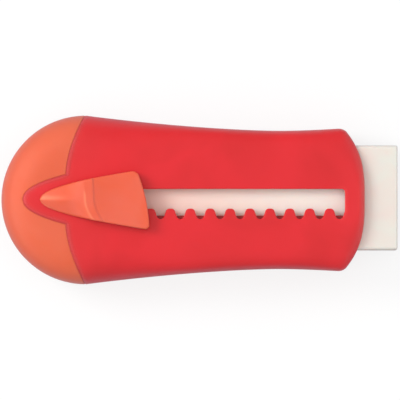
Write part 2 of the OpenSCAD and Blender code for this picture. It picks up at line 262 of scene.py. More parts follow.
def bar(name, low, high, edge):
    # a straight moulded rib between two corners, with its edges broken
    size = [(b - a) * mm for a, b in zip(low, high)]
    middle = spot(*[(a + b) / 2 for a, b in zip(low, high)])
    bpy.ops.object.select_all(action="DESELECT")
    bpy.ops.mesh.primitive_cube_add(size=1, location=middle, scale=size)
    bpy.ops.object.transform_apply(location=True, rotation=True, scale=True)
    bpy.ops.object.mode_set(mode="EDIT")
    bpy.ops.mesh.select_all(action="SELECT")
    bpy.ops.mesh.bevel(offset=edge * mm, segments=2, affect="EDGES")
    bpy.ops.object.mode_set(mode="OBJECT")
    return startPiece(name)


def joined(name, pieces):
    bpy.ops.object.select_all(action="DESELECT")
    for piece in pieces:
        piece.select_set(True)
    bpy.context.view_layer.objects.active = pieces[0]
    bpy.ops.object.join()
    return startPiece(name)


def shadeSoftly(piece, limit):
    pickOnly(piece)
    bpy.ops.object.shade_smooth_by_angle(angle=math.radians(limit))
    applyModifier(piece, "shading", "WEIGHTED_NORMAL", {"keep_sharp": True})


# share of painted shade in every face of a piece, which its material reads
def paintShade(piece, amount):
    mark = piece.data.attributes.new("paintedShade", "FLOAT", "FACE")
    for value in mark.data:
        value.value = amount


def thicken(piece, edge):
    # outer skin to moulded wall, with the outer edges of its openings rounded where the faces have room
    editOnly(piece, "EDGE")
    bpy.ops.mesh.select_all(action="SELECT")
    bpy.ops.mesh.remove_doubles(threshold=1e-6)
    bpy.ops.mesh.normals_make_consistent(inside=False)
    bpy.ops.object.mode_set(mode="OBJECT")
    skinCount = len(piece.data.polygons)
    narrow = set()
    leastWidth = 1.1 * edge * mm
    for polygon in piece.data.polygons:
        for key in polygon.edge_keys:
            a, b = [piece.data.vertices[i].co for i in key]
            if polygon.area < leastWidth * (a - b).length:
                narrow.add(key)
    applyModifier(piece, "wall", "SOLIDIFY", {
        "thickness": form["wall"] * mm, "offset": -1, "use_even_offset": True})
    sides = {}
    for polygon in piece.data.polygons:
        layer = min(polygon.index // skinCount, 2)
        kind = ("skin", "inner", "rim")[layer]
        for key in polygon.edge_keys:
            sides.setdefault(key, set()).add(kind)
    editOnly(piece, "EDGE")
    bpy.ops.object.mode_set(mode="OBJECT")
    for line in piece.data.edges:
        line.select = sides[line.key] == {"skin", "rim"} and line.key not in narrow
    bpy.ops.object.mode_set(mode="EDIT")
    bpy.ops.mesh.bevel(offset=edge * mm, segments=4, affect="EDGES", clamp_overlap=False)
    bpy.ops.object.mode_set(mode="OBJECT")


# Turns of the shoulder from the upright side to the flat top, closer together at both ends
turnSteps = 22
turnPower = 1.6
turns = []
for i in range(turnSteps + 1):
    early, late = (i / turnSteps) ** turnPower, (1 - i / turnSteps) ** turnPower
    turns.append(math.pi / 2 * early / (early + late))


caseShape = {
    "seamColumns": 5,
    "sideColumns": 60,
    "cornerColumns": 8,
    "cheekColumns": 8,
    "bowColumns": 16,
    "edge": 0.25,
    "tipShares": (0, 0.33, 0.5, 0.67, 1),
    "tipRows": 6,
    "tipPower": 1.5,
    "seamPower": 1.8,
    "seamRows": 7,
}

rack = {
    "pitch": 4,
    "steps": 10,
    "firstX": 28.1,
    "depth": 2.1,
    "flank": math.radians(18),
    "tipRadius": 0.8,
    "tipFlat": 0.35,
    "arcSteps": 8,
    "topY": 2.08,
    "lowY": 1.86,
    "rearX": 19,
    "pastLast": 1.1,
    "frontRise": 0.35,
    "cornerRadius": 0.6,
    "cornerSteps": 6,
    "shelfWidth": 0.7,
    "shelfRoot": 0.8,
    "shelfHeight": 0.3,
    "shelfEdge": 0.05,
    "shelfLift": 0.02,
    "behind": 1,
    "beyond": 0.3,
    # share of painted shade on the shelf under the notches
    "paintedShade": 0.75,
}
rack["frontX"] = rack["firstX"] + rack["pitch"] * rack["steps"] + rack["pastLast"]

# ribs inside the case that the holder's arms run between
guide = {"arm": 0.75, "thick": 1.2, "rise": 0.4, "fall": 0.7, "short": 8, "edge": 0.1}


def caseHalf(mouthHalf):
    # outline points of one side, from the front's middle back to the widest place
    corner = form["cornerRadius"]
    lean = form["cornerLean"]
    points = [(form["length"], 0)]
    cheekEnd = form["cornerY"] + corner * math.sin(lean)
    for start, end, count in ((0, mouthHalf, caseShape["bowColumns"]),
                              (mouthHalf, cheekEnd, caseShape["cheekColumns"])):
        for i in range(1, count + 1):
            y = blend(start, end, i / count)
            points.append((bowX(y), y))
    for i in range(1, caseShape["cornerColumns"] + 1):
        a = blend(lean, math.pi / 2, i / caseShape["cornerColumns"])
        points.append((form["cornerX"] + corner * math.cos(a), form["cornerY"] + corner * math.sin(a)))
    for i in range(1, caseShape["sideColumns"] + 1):
        x = blend(form["cornerX"], form["rearRadius"], i / caseShape["sideColumns"])
        points.append((x, halfAt(x)))
    return points


def slotOutline():
    flank = rack["flank"]
    reach = (rack["pitch"] - rack["tipFlat"]) / 2
    bottom = ((reach * math.cos(flank) - rack["depth"] * math.sin(flank)) / (1 - math.sin(flank))
              - rack["tipRadius"])
    points = [(rack["rearX"], -rack["lowY"])]
    arcs = [(-reach, -rack["tipRadius"], rack["tipRadius"], 90, math.degrees(flank)),
            (0, bottom - rack["depth"], bottom, 180 + math.degrees(flank), 360 - math.degrees(flank)),
            (reach, -rack["tipRadius"], rack["tipRadius"], 180 - math.degrees(flank), 90)]
    for step in range(rack["steps"] + 1):
        for x, y, radius, start, end in arcs:
            for i in range(rack["arcSteps"] + 1):
                a = math.radians(blend(start, end, i / rack["arcSteps"]))
                px = rack["firstX"] + step * rack["pitch"] + x + radius * math.cos(a)
                if px < rack["frontX"]:
                    points.append((px, -rack["lowY"] + y + radius * math.sin(a)))
    points.append((rack["frontX"], points[-1][1] + rack["frontRise"]))
    corner = rack["cornerRadius"]
    for i in range(rack["cornerSteps"] + 1):
        a = math.pi / 2 * i / rack["cornerSteps"]
        points.append((rack["frontX"] - corner + corner * math.cos(a),
                       rack["topY"] - corner + corner * math.sin(a)))
    points.append((rack["rearX"], rack["topY"]))
    return points


def makeCase():
    middle = (blockLow.y + blockHigh.y) / 2
    reach = (blockHigh.y - blockLow.y) / 2 + form["slideGap"]
    left = caseHalf(reach + middle)
    right = caseHalf(reach - middle)
    seamCount = caseShape["seamColumns"]
    seamShares = [((i + 1) / seamCount) ** caseShape["seamPower"] for i in range(seamCount)]
    columns = ([("seam", 1, s) for s in reversed(seamShares)] + [("side", 1, p) for p in reversed(left)]
               + [("side", -1, p) for p in right[1:]] + [("seam", -1, s) for s in seamShares])
    levels = [(turn, False) for turn in reversed(turns)] + [(turn, True) for turn in turns]
    curve = seamCurve(0)

    def place(column, row):
        kind, side, at = columns[column]
        turn, top = levels[row]
        if kind == "side":
            return shoulderSpot(at[0], side * at[1], turn, top)
        inward = 1 - math.cos(turn) ** (2 / form["fullRear"])
        radius = form["rearRadius"] - form["shoulder"] * inward
        angle = blend(math.pi / 2, curveAngle(radius, curve), at)
        return domeSpot(radius, side * angle, top)

    skin = formedGrid("caseSkin", len(columns), len(levels), place)

    # opening of the mouth in the upright band at the front
    editOnly(skin, "FACE")
    bpy.ops.object.mode_set(mode="OBJECT")
    midHeight = form["height"] / 2 * mm
    frontX = spot(form["cornerX"], 0, 0).x
    for polygon in skin.data.polygons:
        heights = [skin.data.vertices[i].co.z for i in polygon.vertices]
        inMouth = polygon.center.x > frontX and abs(polygon.center.y - middle * mm) < reach * mm
        polygon.select = inMouth and min(heights) < midHeight < max(heights)
    bpy.ops.object.mode_set(mode="EDIT")
    bpy.ops.mesh.delete(type="FACE")
    bpy.ops.object.mode_set(mode="OBJECT")

    # tip of the tongue, which slopes down a little with the dome
    tongue = tongueCurve(0)
    flatRadius = form["rearRadius"] - form["shoulder"]
    tipRadius = form["rearRadius"] - seam["tongueTip"]
    tipColumns = len(caseShape["tipShares"])

    def placeTip(column, row):
        share = (row / caseShape["tipRows"]) ** caseShape["tipPower"]
        radius = tipRadius - (tipRadius - flatRadius) * share
        angle = curveAngle(radius, tongue) if row else math.pi
        return domeSpot(radius, blend(angle, 2 * math.pi - angle, caseShape["tipShares"][column]), True)

    tip = formedGrid("tongueTip", tipColumns, caseShape["tipRows"] + 1, placeTip)

    # flat base, and flat top in two plates that meet at both ends of the slot
    cornerRadius = seamCorner(0)

    def seamPoints(start, line, side, top):
        # from the edge of the flat in to the tongue's root, or back out
        count = caseShape["seamRows"]
        radii = [blend(flatRadius, cornerRadius, i / count) for i in range(count + 1)]
        points = [domeSpot(r, side * curveAngle(r, line), top) for r in radii]
        return points if start == "edge" else points[::-1]

    topRow = [place(i, len(levels) - 1) for i in range(len(columns))]
    lowRow = [place(i, 0) for i in range(len(columns))]
    tipRow = [placeTip(i, caseShape["tipRows"]) for i in range(tipColumns)]
    slot = [spot(x, y, form["height"]) for x, y in slotOutline()]
    frontEnd = len(slot) - rack["cornerSteps"] - 2
    nose = seamCount + len(left) - 1
    tipMiddle = tipColumns // 2
    upper = (topRow[:nose + 1] + slot[frontEnd:] + slot[:1] + tipRow[tipMiddle::-1]
             + seamPoints("edge", tongue, 1, True)[1:] + seamPoints("root", curve, 1, True)[1:-1])
    lower = (topRow[nose:] + seamPoints("edge", curve, -1, True)[1:]
             + seamPoints("root", tongue, -1, True)[1:] + tipRow[tipMiddle:-1][::-1]
             + slot[:frontEnd + 1])
    base = lowRow + seamPoints("edge", curve, -1, False)[1:] + seamPoints("root", curve, 1, False)[:-1]
    plates = [formedPlate(name, points)
              for name, points in (("upper", upper), ("lower", lower), ("base", base))]
    case = joined("caseShell", [skin, tip] + plates)
    thicken(case, caseShape["edge"])

    # what stands on the inside of the wall: groove floor, notch shelf and guides
    notchLow = -rack["lowY"] - rack["depth"]
    ribRear = rack["rearX"] - rack["behind"]
    shelfLow, shelfHigh = [form["ceiling"] + rack[key] for key in ("shelfLift", "shelfHeight")]
    shelf = bar("rackShelf", (ribRear, notchLow - rack["shelfRoot"], shelfLow),
                (rack["frontX"] + rack["beyond"], notchLow + rack["shelfWidth"], shelfHigh),
                rack["shelfEdge"])
    # the shelf under the notches is painted dark as shade
    paintShade(shelf, rack["paintedShade"])
    armOut = reach + guide["arm"] + form["slideGap"]
    ribs = []
    for side in (-1, 1):
        near = middle + side * armOut
        lowY, highY = sorted((near, near + side * guide["thick"]))
        ribs.append(bar("guideRib", (ribRear, lowY, form["wall"] + guide["rise"]),
                        (form["length"] - guide["short"], highY, form["ceiling"] - guide["fall"]),
                        guide["edge"]))
    case = joined("caseShell", [case, makeGrooveFloor(), shelf] + ribs)
    shadeSoftly(case, 40)
    return case


groove = {
    "depth": 0.17,
    "floor": 0.2,
    "under": 0.6,
    "fill": 0.96,
    "seamColumns": 30,
    "tongueColumns": 24,
    "rows": 4,
    "probe": 0.05,
    # share of painted shade on the groove floor
    "paintedShade": 0.2,
}


def makeGrooveFloor():
    # strip a little below the surface that closes the groove between the case and the cap
    seamShares = [i / groove["seamColumns"] for i in range(groove["seamColumns"] + 1)]
    tongueShares = [i / groove["tongueColumns"] for i in range(groove["tongueColumns"] + 1)]
    line = ([(tongueCurve, share, True) for share in reversed(tongueShares)]
            + [(seamCurve, share, True) for share in reversed(seamShares)]
            + [(seamCurve, share, False) for share in seamShares])
    strips = []
    for side in (1, -1):
        def place(column, row):
            kind, share, top = line[column]
            shift = blend(-groove["under"], seam["gap"] * groove["fill"], row / (groove["rows"] - 1))
            curve = kind(shift)
            if kind is seamCurve:
                radius = blend(form["rearRadius"], seamCorner(shift), share)
            else:
                start = max(reachOf(curve(1)), seamCorner(shift))
                radius = blend(start, reachOf(curve(0)), 1 - (1 - share) ** 2)
            angle = side * curveAngle(radius, curve)
            point = domeSpot(radius, angle, top)
            probe = groove["probe"]
            outward = domeSpot(radius + probe, angle, top) - domeSpot(radius - probe, angle, top)
            along = Vector((-math.sin(angle), math.cos(angle), 0))
            normal = along.cross(outward).normalized()
            if (normal.z > 0) != top:
                normal = -normal
            return point - normal * groove["depth"] * mm

        strip = formedGrid("grooveStrip", len(line), groove["rows"], place)
        editOnly(strip, "FACE")
        bpy.ops.mesh.select_all(action="SELECT")
        bpy.ops.mesh.normals_make_consistent(inside=False)
        bpy.ops.object.mode_set(mode="OBJECT")
        strips.append(strip)
    floor = joined("grooveFloor", strips)
    applyModifier(floor, "body", "SOLIDIFY", {"thickness": groove["floor"] * mm, "offset": 0})
    # the groove floor is painted a little darker as shade
    paintShade(floor, groove["paintedShade"])
    return floor


capShape = {
    "columns": 34,
    "edge": 0.07,
    "flatRows": 6,
    "clearOfTip": 0.2,
    "lugReach": 4.5,
    "lugBack": 7,
    "lugThick": 1.1,
    "lugHalf": 2.5,
    "lugEdge": 0.15,
}


def makeCap():
    gap = seam["gap"]
    curve, tongue = seamCurve(gap), tongueCurve(gap)
    flatRadius = form["rearRadius"] - form["shoulder"]
    tipRadius = form["rearRadius"] - seam["tongueTip"] + gap
    cornerRadius = seamCorner(gap)
    rimRadii = []
    for turn in turns:
        inward = 1 - math.cos(turn) ** (2 / form["fullRear"])
        rimRadii.append(form["rearRadius"] - form["shoulder"] * inward)
    tipShares = [(i / caseShape["tipRows"]) ** caseShape["tipPower"]
                 for i in range(caseShape["tipRows"] + 1)]
    tipRadii = [tipRadius - (tipRadius - flatRadius) * share for share in tipShares]
    flatRadii = [blend(flatRadius, cornerRadius, i / capShape["flatRows"])
                 for i in range(1, capShape["flatRows"] + 1)]
    topRadii = [r for r in rimRadii if r > tipRadius + capShape["clearOfTip"]] + tipRadii + flatRadii
    levels = [(r, False) for r in reversed(rimRadii)] + [(r, True) for r in topRadii]
    halves = []
    for side in (1, -1):
        def place(column, row):
            radius, top = levels[row]
            start = curveAngle(radius, curve)
            end = curveAngle(radius, tongue) if top and radius < tipRadius - 1e-6 else math.pi
            if top and radius < cornerRadius + 1e-6:
                end = start
            return domeSpot(radius, side * blend(start, end, column / capShape["columns"]), top)

        halves.append(formedGrid("capHalf", capShape["columns"] + 1, len(levels), place))
    count = capShape["columns"]
    arcAngles = [blend(curveAngle(flatRadius, curve), math.pi, i / count) for i in range(count + 1)]
    arc = [domeSpot(flatRadius, angle, False)
           for angle in arcAngles + [-angle for angle in reversed(arcAngles[:-1])]]
    seamRows = caseShape["seamRows"]
    seamRadii = [blend(flatRadius, cornerRadius, i / seamRows) for i in range(1, seamRows + 1)]
    seamLine = ([domeSpot(r, -curveAngle(r, curve), False) for r in seamRadii]
                + [domeSpot(r, curveAngle(r, curve), False) for r in reversed(seamRadii)])
    cap = joined("capShell", halves + [formedPlate("capBase", arc + seamLine)])
    thicken(cap, capShape["edge"])
    lugOut = halfAt(form["rearRadius"] + capShape["lugReach"]) - form["wall"] - form["slideGap"]
    midHeight = form["height"] / 2
    lugs = []
    for side in (-1, 1):
        lowY, highY = sorted((side * lugOut, side * (lugOut - capShape["lugThick"])))
        rear, front = [form["rearRadius"] + x for x in (-capShape["lugBack"], capShape["lugReach"])]
        lugs.append(bar("snapLug", (rear, lowY, midHeight - capShape["lugHalf"]),
                        (front, highY, midHeight + capShape["lugHalf"]), capShape["lugEdge"]))
    cap = joined("capShell", [cap] + lugs)
    shadeSoftly(cap, 40)
    return cap


button = {
    "front": rack["firstX"] + 1.05,
    "length": 21.3,
    "half": 5.95,
    "slant": 0.22,
    "bow": 0.016,
    "bowFrom": 21,
    "sidePower": 0.5,
    "crestAt": 9.1,
    "crestWidth": 1.5,
    "stepWidth": 0.5,
    "bandFall": -0.12,
    "tipHeight": 0.7,
    "crestHeight": 3,
    "crestLine": 0.05,
    "crestEdge": 0.28,
    "crestFadeAt": 1,
    "crestFade": 2,
    "lean": 0.05,
    "bend": 0.08,
    "tailPower": 0.8,
    "lowFall": 0.62,
    "highFall": 0.45,
    "fallEnd": 4,
    "ridgeSoft": 0.12,
    # strength and reach of the highlight painted on the crest and at the ridge's tip
    "crestHighlight": 0.38,
    "crestHighlightFadeAt": 0.6,
    "crestHighlightFade": 1.6,
    "tipHighlightLength": 6,
    "tipHighlight": 0.65,
    "ridgeAt": 0.3,
    "ridgeWidth": 0.5,
    "padRear": 2.75,
    "padLow": 2.55,
    "padFront": 2.8,
    "padHollow": 0.12,
    "hollowRise": 1.5,
    "lowCorner": 0.7,
    "highCorner": 1.2,
    "rim": 0.32,
    "gap": 0.2,
    "skirt": 2,
    "columns": 130,
    "cornerColumns": 8,
    "cornerStep": 0.3,
    "columnMarks": [(0, 0), (0.15, 0.04), (0.42, 0.4), (0.75, 0.6), (1, 1)],
    "rimRows": 6,
    "rows": 41,
    "neckLow": (20.9, -0.46),
    "neckHigh": (25.5, 1.78),
    "neckSunk": 0.25,
    "neckEdge": 0.15,
}
button["tip"] = button["front"] - button["length"]


def buttonHalfAt(x):
    return button["half"] * (max(x - button["tip"], 0) / button["length"]) ** button["sidePower"]


def leant(x, y):
    # crest and step lean a little across the button and bend forward at its lower end
    return x + button["lean"] * y - button["bend"] * min(y, 0) ** 2


def buttonTop(x, y, across):
    # height over the case: two facets meet on the tail's ridge, then crest band, step and thumb pad
    crest = button["tip"] + button["crestAt"]
    x = leant(x, y)
    if x < crest:
        share = max(x - button["tip"], 0) / button["crestAt"]
        height = blend(button["tipHeight"], button["crestHeight"], share ** button["tailPower"])
    else:
        step = smooth((x - crest - button["crestWidth"]) / button["stepWidth"])
        padStart = crest + button["crestWidth"] + button["stepWidth"]
        along = min(max((x - padStart) / (button["front"] - padStart), 0), 1)
        pad = button["padRear"] + (button["padFront"] - button["padRear"]) * along
        pad -= (button["padRear"] - button["padLow"]) * math.sin(math.pi * along)
        hollow = math.sin(math.pi * min(along * button["hollowRise"], 1))
        pad += button["padHollow"] * (across ** 2 - 1) * hollow
        band = button["crestHeight"] - button["bandFall"] * min((x - crest) / button["crestWidth"], 1)
        height = blend(band, pad, step)
    line = math.exp(-((x - crest) / button["crestEdge"]) ** 2)
    line *= 1 - smooth((y - button["crestFadeAt"]) / button["crestFade"])
    height += button["crestLine"] * line
    soft = button["ridgeSoft"]
    side = (math.sqrt(across ** 2 + soft ** 2) - soft) / (math.sqrt(1 + soft ** 2) - soft)
    fall = button["lowFall"] if y < 0 else button["highFall"]
    fall *= 1 - smooth((x - crest + button["fallEnd"]) / button["fallEnd"])
    return height * (1 - fall * side)


def ridgeHighlightAt(x, y):
    # how strongly a highlight is painted on the surface: along the crest, and at the tip on the ridge
    fromCrest = leant(x, y) - button["tip"] - button["crestAt"]
    crest = math.exp(-(fromCrest / button["crestEdge"]) ** 2)
    crest *= 1 - smooth((y - button["crestHighlightFadeAt"]) / button["crestHighlightFade"])
    fromTip = (x - button["tip"]) / button["tipHighlightLength"]
    ridge = math.exp(-((y - button["ridgeAt"]) / button["ridgeWidth"]) ** 2) * max(1 - fromTip, 0)
    return max(button["crestHighlight"] * crest, button["tipHighlight"] * ridge)


def makeButton():
    lean = math.atan(button["slant"])
    edges = {}
    for side, radius in ((-1, button["lowCorner"]), (1, button["highCorner"])):
        cornerAt = button["front"] - side * button["slant"] * button["half"] - radius
        y = side * (buttonHalfAt(cornerAt) - radius)
        x = button["front"] - button["slant"] * y - radius * math.sqrt(1 + button["slant"] ** 2)
        line = []
        count = button["columns"] - button["cornerColumns"]
        marks = button["columnMarks"]
        for i in range(count):
            share = i / (count - 1)
            # columns lie closest together at the tip and over the crest
            (a, b), (c, d) = next((m, n) for m, n in zip(marks, marks[1:]) if share <= n[0])
            px = blend(button["tip"], x - button["cornerStep"], blend(b, d, (share - a) / (c - a)))
            line.append((px, side * buttonHalfAt(px)))
        for i in range(button["cornerColumns"]):
            a = blend(side * math.pi / 2, lean, i / (button["cornerColumns"] - 1))
            line.append((x + radius * math.cos(a), y + radius * math.sin(a)))
        edges[side] = line

    def place(column, row):
        low, high = edges[-1][column], edges[1][column]
        span = math.dist(low, high) / 2
        rim = min(button["rim"], span / 2)
        # rows run round the rim first, then evenly across
        fromEdge = min(row, button["rows"] - 1 - row)
        if fromEdge < button["rimRows"]:
            inSide = rim * (1 - math.cos(fromEdge / (button["rimRows"] - 1) * math.pi / 2))
        else:
            steps = (button["rows"] + 1) / 2 - button["rimRows"]
            inSide = blend(rim, span, (fromEdge - button["rimRows"] + 1) / steps)
        across = (1 - inSide / span if span else 0) * (1 if row > fromEdge else -1)
        x, y = blend(low[0], high[0], (across + 1) / 2), blend(low[1], high[1], (across + 1) / 2)
        inFront = button["front"] - button["slant"] * y - x
        reach = min(max(min(inFront, inSide), 0), rim)
        fall = rim - math.sqrt(rim ** 2 - (rim - reach) ** 2)
        z = max(buttonTop(x, y, across) - fall, 2 * button["gap"])
        bowed = smooth((x - button["bowFrom"]) / (button["front"] - button["bowFrom"]))
        x -= button["bow"] * y ** 2 * bowed
        return spot(x, y, form["height"] + z)

    top = formedGrid("thumbPad", button["columns"], button["rows"], place)
    editOnly(top, "FACE")
    bpy.ops.mesh.select_all(action="SELECT")
    bpy.ops.mesh.remove_doubles(threshold=1e-6)
    bpy.ops.mesh.extrude_region_move(TRANSFORM_OT_translate={"value": (0, 0, -button["skirt"] * mm)})
    under = spot(0, 0, form["height"] + button["gap"])
    bpy.ops.transform.resize(value=(1, 1, 0), center_override=under)
    bpy.ops.mesh.select_all(action="SELECT")
    bpy.ops.mesh.normals_make_consistent(inside=False)
    bpy.ops.object.mode_set(mode="OBJECT")
    neck = bar("neck", (*button["neckLow"], form["ceiling"] - button["neckSunk"]),
               (*button["neckHigh"], form["height"] + 2 * button["gap"]), button["neckEdge"])
    whole = joined("thumbPad", [top, neck])
    # painted highlight along the crest and at the ridge's tip
    mark = whole.data.attributes.new("paintedRidgeHighlight", "FLOAT", "POINT")
    for vertex, value in zip(whole.data.vertices, mark.data):
        if vertex.co.z > (form["height"] + button["tipHeight"]) * mm:
            value.value = ridgeHighlightAt(vertex.co.x / mm - rearX, vertex.co.y / mm)
    pickOnly(whole)
    bpy.ops.object.shade_smooth_by_angle(angle=math.radians(50))
    return whole


eraser = {"edge": 0.6, "endRound": 0.35}


def makeBlock():
    # cut block whose long edges are rounded, with a slightly soft, uneven surface
    size = (blockHigh - blockLow) * mm
    bpy.ops.object.select_all(action="DESELECT")
    bpy.ops.mesh.primitive_cube_add(size=1, location=(blockLow + blockHigh) / 2 * mm, scale=size)
    bpy.ops.object.transform_apply(location=True, rotation=True, scale=True)
    block = startPiece("vinylBlock")
    editOnly(block, "EDGE")
    bpy.ops.object.mode_set(mode="OBJECT")
    for edge in block.data.edges:
        a, b = [block.data.vertices[i].co for i in edge.vertices]
        edge.select = abs(a.x - b.x) > mm
    bpy.ops.object.mode_set(mode="EDIT")
    bpy.ops.mesh.bevel(offset=eraser["edge"] * mm, segments=4, affect="EDGES")
    bpy.ops.mesh.select_all(action="DESELECT")
    bpy.ops.object.mode_set(mode="OBJECT")
    for edge in block.data.edges:
        a, b = [block.data.vertices[i].co for i in edge.vertices]
        edge.select = abs(a.x - b.x) < 1e-7
    bpy.ops.object.mode_set(mode="EDIT")
    bpy.ops.mesh.bevel(offset=eraser["endRound"] * mm, segments=3, affect="EDGES")
    bpy.ops.object.mode_set(mode="OBJECT")
    shadeSoftly(block, 40)
    return block


case = makeCase()
print("case:", len(case.data.polygons), "faces")
cap = makeCap()
print("cap:", len(cap.data.polygons), "faces")
pad = makeButton()
print("button:", len(pad.data.polygons), "faces")
block = makeBlock()
print("block:", len(block.data.polygons), "faces")


def linear(hexCode):
    channels = [int(hexCode[i:i + 2], 16) / 255 for i in (0, 2, 4)]
    channels = [c / 12.92 if c <= 0.04045 else ((c + 0.055) / 1.055) ** 2.4 for c in channels]
    return (*channels, 1)


def addNode(tree, kind, settings=None, inputs=None):
    node = tree.nodes.new(kind)
    for key, value in (settings or {}).items():
        setattr(node, key, value)
    for key, value in (inputs or {}).items():
        if isinstance(value, bpy.types.NodeSocket):
            tree.links.new(value, node.inputs[key])
        else:
            node.inputs[key].default_value = value
    return node


def perMetre(size):
    return 1 / (size * mm)


def newMaterial(name):
    material = bpy.data.materials.new(name)
    material.use_nodes = True
    material.node_tree.nodes.clear()
    return material


# Injection-moulded ABS, spark-finished tool: satin skin with a fine grain, faint swirls of uneven
# colour where the melt flowed, and a clean sheen that only shows at grazing angles
def mouldedPlastic(name, look):
    material = newMaterial(name)
    tree = material.node_tree
    place = addNode(tree, "ShaderNodeTexCoord").outputs["Object"]
    cloud = addNode(tree, "ShaderNodeTexNoise", inputs={
        "Vector": place, "Scale": perMetre(look["cloudSize"]), "Detail": 2, "Distortion": 0.6})
    spread = addNode(tree, "ShaderNodeMapRange", inputs={
        "Value": cloud.outputs["Fac"], "From Min": 0.35, "From Max": 0.65})
    tint = addNode(tree, "ShaderNodeMix", {"data_type": "RGBA"}, {
        0: spread.outputs["Result"], 6: linear(look["colour"]), 7: linear(look["second"])})
    grain = addNode(tree, "ShaderNodeTexNoise", inputs={
        "Vector": place, "Scale": perMetre(look["grainSize"]), "Detail": 3})
    sheen = addNode(tree, "ShaderNodeMapRange", inputs={
        "Value": grain.outputs["Fac"],
        "To Min": look["roughness"] - look["uneven"], "To Max": look["roughness"] + look["uneven"]})
    edge = addNode(tree, "ShaderNodeBevel", {"samples": 6}, {"Radius": look["softEdge"] * mm})
    if "paintedEdgeHighlight" in look:
        # painted highlight: the edges at both ends of the case are painted paler; painted shade darkens
        # the groove floor beside the cap and the shelf under the notches
        flat = addNode(tree, "ShaderNodeNewGeometry").outputs["Normal"]
        wide = addNode(tree, "ShaderNodeBevel", {"samples": 6}, {"Radius": look["edgeHighlightWidth"] * mm})
        facing = addNode(tree, "ShaderNodeVectorMath", {"operation": "DOT_PRODUCT"}, {
            0: wide.outputs["Normal"], 1: flat})
        near = addNode(tree, "ShaderNodeMapRange", inputs={
            "Value": facing.outputs["Value"], "From Min": 0.998, "From Max": 0.8,
            "To Min": look["fade"], "To Max": look["edgeHighlightStrength"]})
        along = addNode(tree, "ShaderNodeSeparateXYZ", inputs={"Vector": place}).outputs["X"]
        reach = addNode(tree, "ShaderNodeMath", {"operation": "SUBTRACT"}, {
            0: along, 1: look["edgeHighlightMiddle"] * mm})
        away = addNode(tree, "ShaderNodeMath", {"operation": "ABSOLUTE"}, {0: reach.outputs[0]})
        ends = addNode(tree, "ShaderNodeMapRange", inputs={
            "Value": away.outputs[0],
            "From Min": look["edgeHighlightFrom"] * mm, "From Max": look["edgeHighlightTo"] * mm})
        # mask of the painted highlight: near an edge, and only towards the case's ends
        paintedEdgeHighlight = addNode(tree, "ShaderNodeMath", {"operation": "MULTIPLY"}, {
            0: near.outputs["Result"], 1: ends.outputs["Result"]})
        # painted shade on the groove floor and the notch shelf
        paintedShade = addNode(tree, "ShaderNodeAttribute", {"attribute_name": "paintedShade"})
        highlightOffShade = addNode(tree, "ShaderNodeMath", {"operation": "SUBTRACT", "use_clamp": True}, {
            0: paintedEdgeHighlight.outputs[0], 1: paintedShade.outputs["Fac"]})
        tint = addNode(tree, "ShaderNodeMix", {"data_type": "RGBA"}, {
            0: highlightOffShade.outputs[0], 6: tint.outputs[2], 7: linear(look["paintedEdgeHighlight"])})
        tint = addNode(tree, "ShaderNodeMix", {"data_type": "RGBA"}, {
            0: paintedShade.outputs["Fac"], 6: tint.outputs[2], 7: linear(look["paintedShade"])})
    if "paintedRidgeHighlight" in look:
        # painted highlight: the button's crest and the tip of its ridge are painted paler
        paintedRidgeHighlight = addNode(tree, "ShaderNodeAttribute", {"attribute_name": "paintedRidgeHighlight"})
        tint = addNode(tree, "ShaderNodeMix", {"data_type": "RGBA"}, {
            0: paintedRidgeHighlight.outputs["Fac"], 6: tint.outputs[2], 7: linear(look["paintedRidgeHighlight"])})
    bump = addNode(tree, "ShaderNodeBump", inputs={
        "Normal": edge.outputs["Normal"], "Height": grain.outputs["Fac"],
        "Strength": look["grainStrength"], "Distance": look["grainHeight"] * mm})
    if "paintedSlotLight" in look:
        # painted light: the block is painted brighter where the case covers it, and pinker and darker
        # towards the button as a painted shadow with painted red reflected light
        along = addNode(tree, "ShaderNodeSeparateXYZ", inputs={"Vector": place}).outputs["X"]
        buttonShade = addNode(tree, "ShaderNodeMapRange", inputs={
            "Value": along, "From Min": look["buttonShadeFrom"] * mm, "From Max": look["buttonShadeTo"] * mm})
        paintedSlotLight = addNode(tree, "ShaderNodeMix", {"data_type": "RGBA"}, {
            0: buttonShade.outputs["Result"], 6: linear(look["paintedButtonShade"]), 7: linear(look["paintedSlotLight"])})
        used = addNode(tree, "ShaderNodeMapRange", inputs={
            "Value": along, "From Min": look["slotLightTo"] * mm, "From Max": look["usedFrom"] * mm})
        tint = addNode(tree, "ShaderNodeMix", {"data_type": "RGBA"}, {
            0: used.outputs["Result"], 6: paintedSlotLight.outputs[2], 7: tint.outputs[2]})
    shader = addNode(tree, "ShaderNodeBsdfPrincipled", inputs={
        "Base Color": tint.outputs[2], "Roughness": sheen.outputs["Result"],
        "Normal": bump.outputs["Normal"], "Specular IOR Level": look["specular"],
        "Subsurface Weight": look["glow"],
        "Subsurface Radius": look["glowRadius"], "Subsurface Scale": look["glowDepth"] * mm})
    addNode(tree, "ShaderNodeOutputMaterial", inputs={"Surface": shader.outputs["BSDF"]})
    return material


caseLook = {
    "colour": "e11d27",
    "second": "d81a21",
    "cloudSize": 13,
    "grainSize": 0.35,
    "grainStrength": 0.15,
    "grainHeight": 0.02,
    "roughness": 0.36,
    "uneven": 0.06,
    "specular": 0.5,
    "glow": 0.3,
    "glowRadius": (1, 0.2, 0.1),
    "glowDepth": 1,
    "softEdge": 0.25,
}
capLook = dict(caseLook, colour="e3603a", second="e46645", cloudSize=15, glowRadius=(1, 0.3, 0.1),
               softEdge=0.15)
# the button carries a paler colour that is painted as a highlight on its crest and ridge tip
buttonLook = dict(capLook, colour="e85d3a", second="e8654a", cloudSize=8, softEdge=0.1,
                  paintedRidgeHighlight="ff9a72")
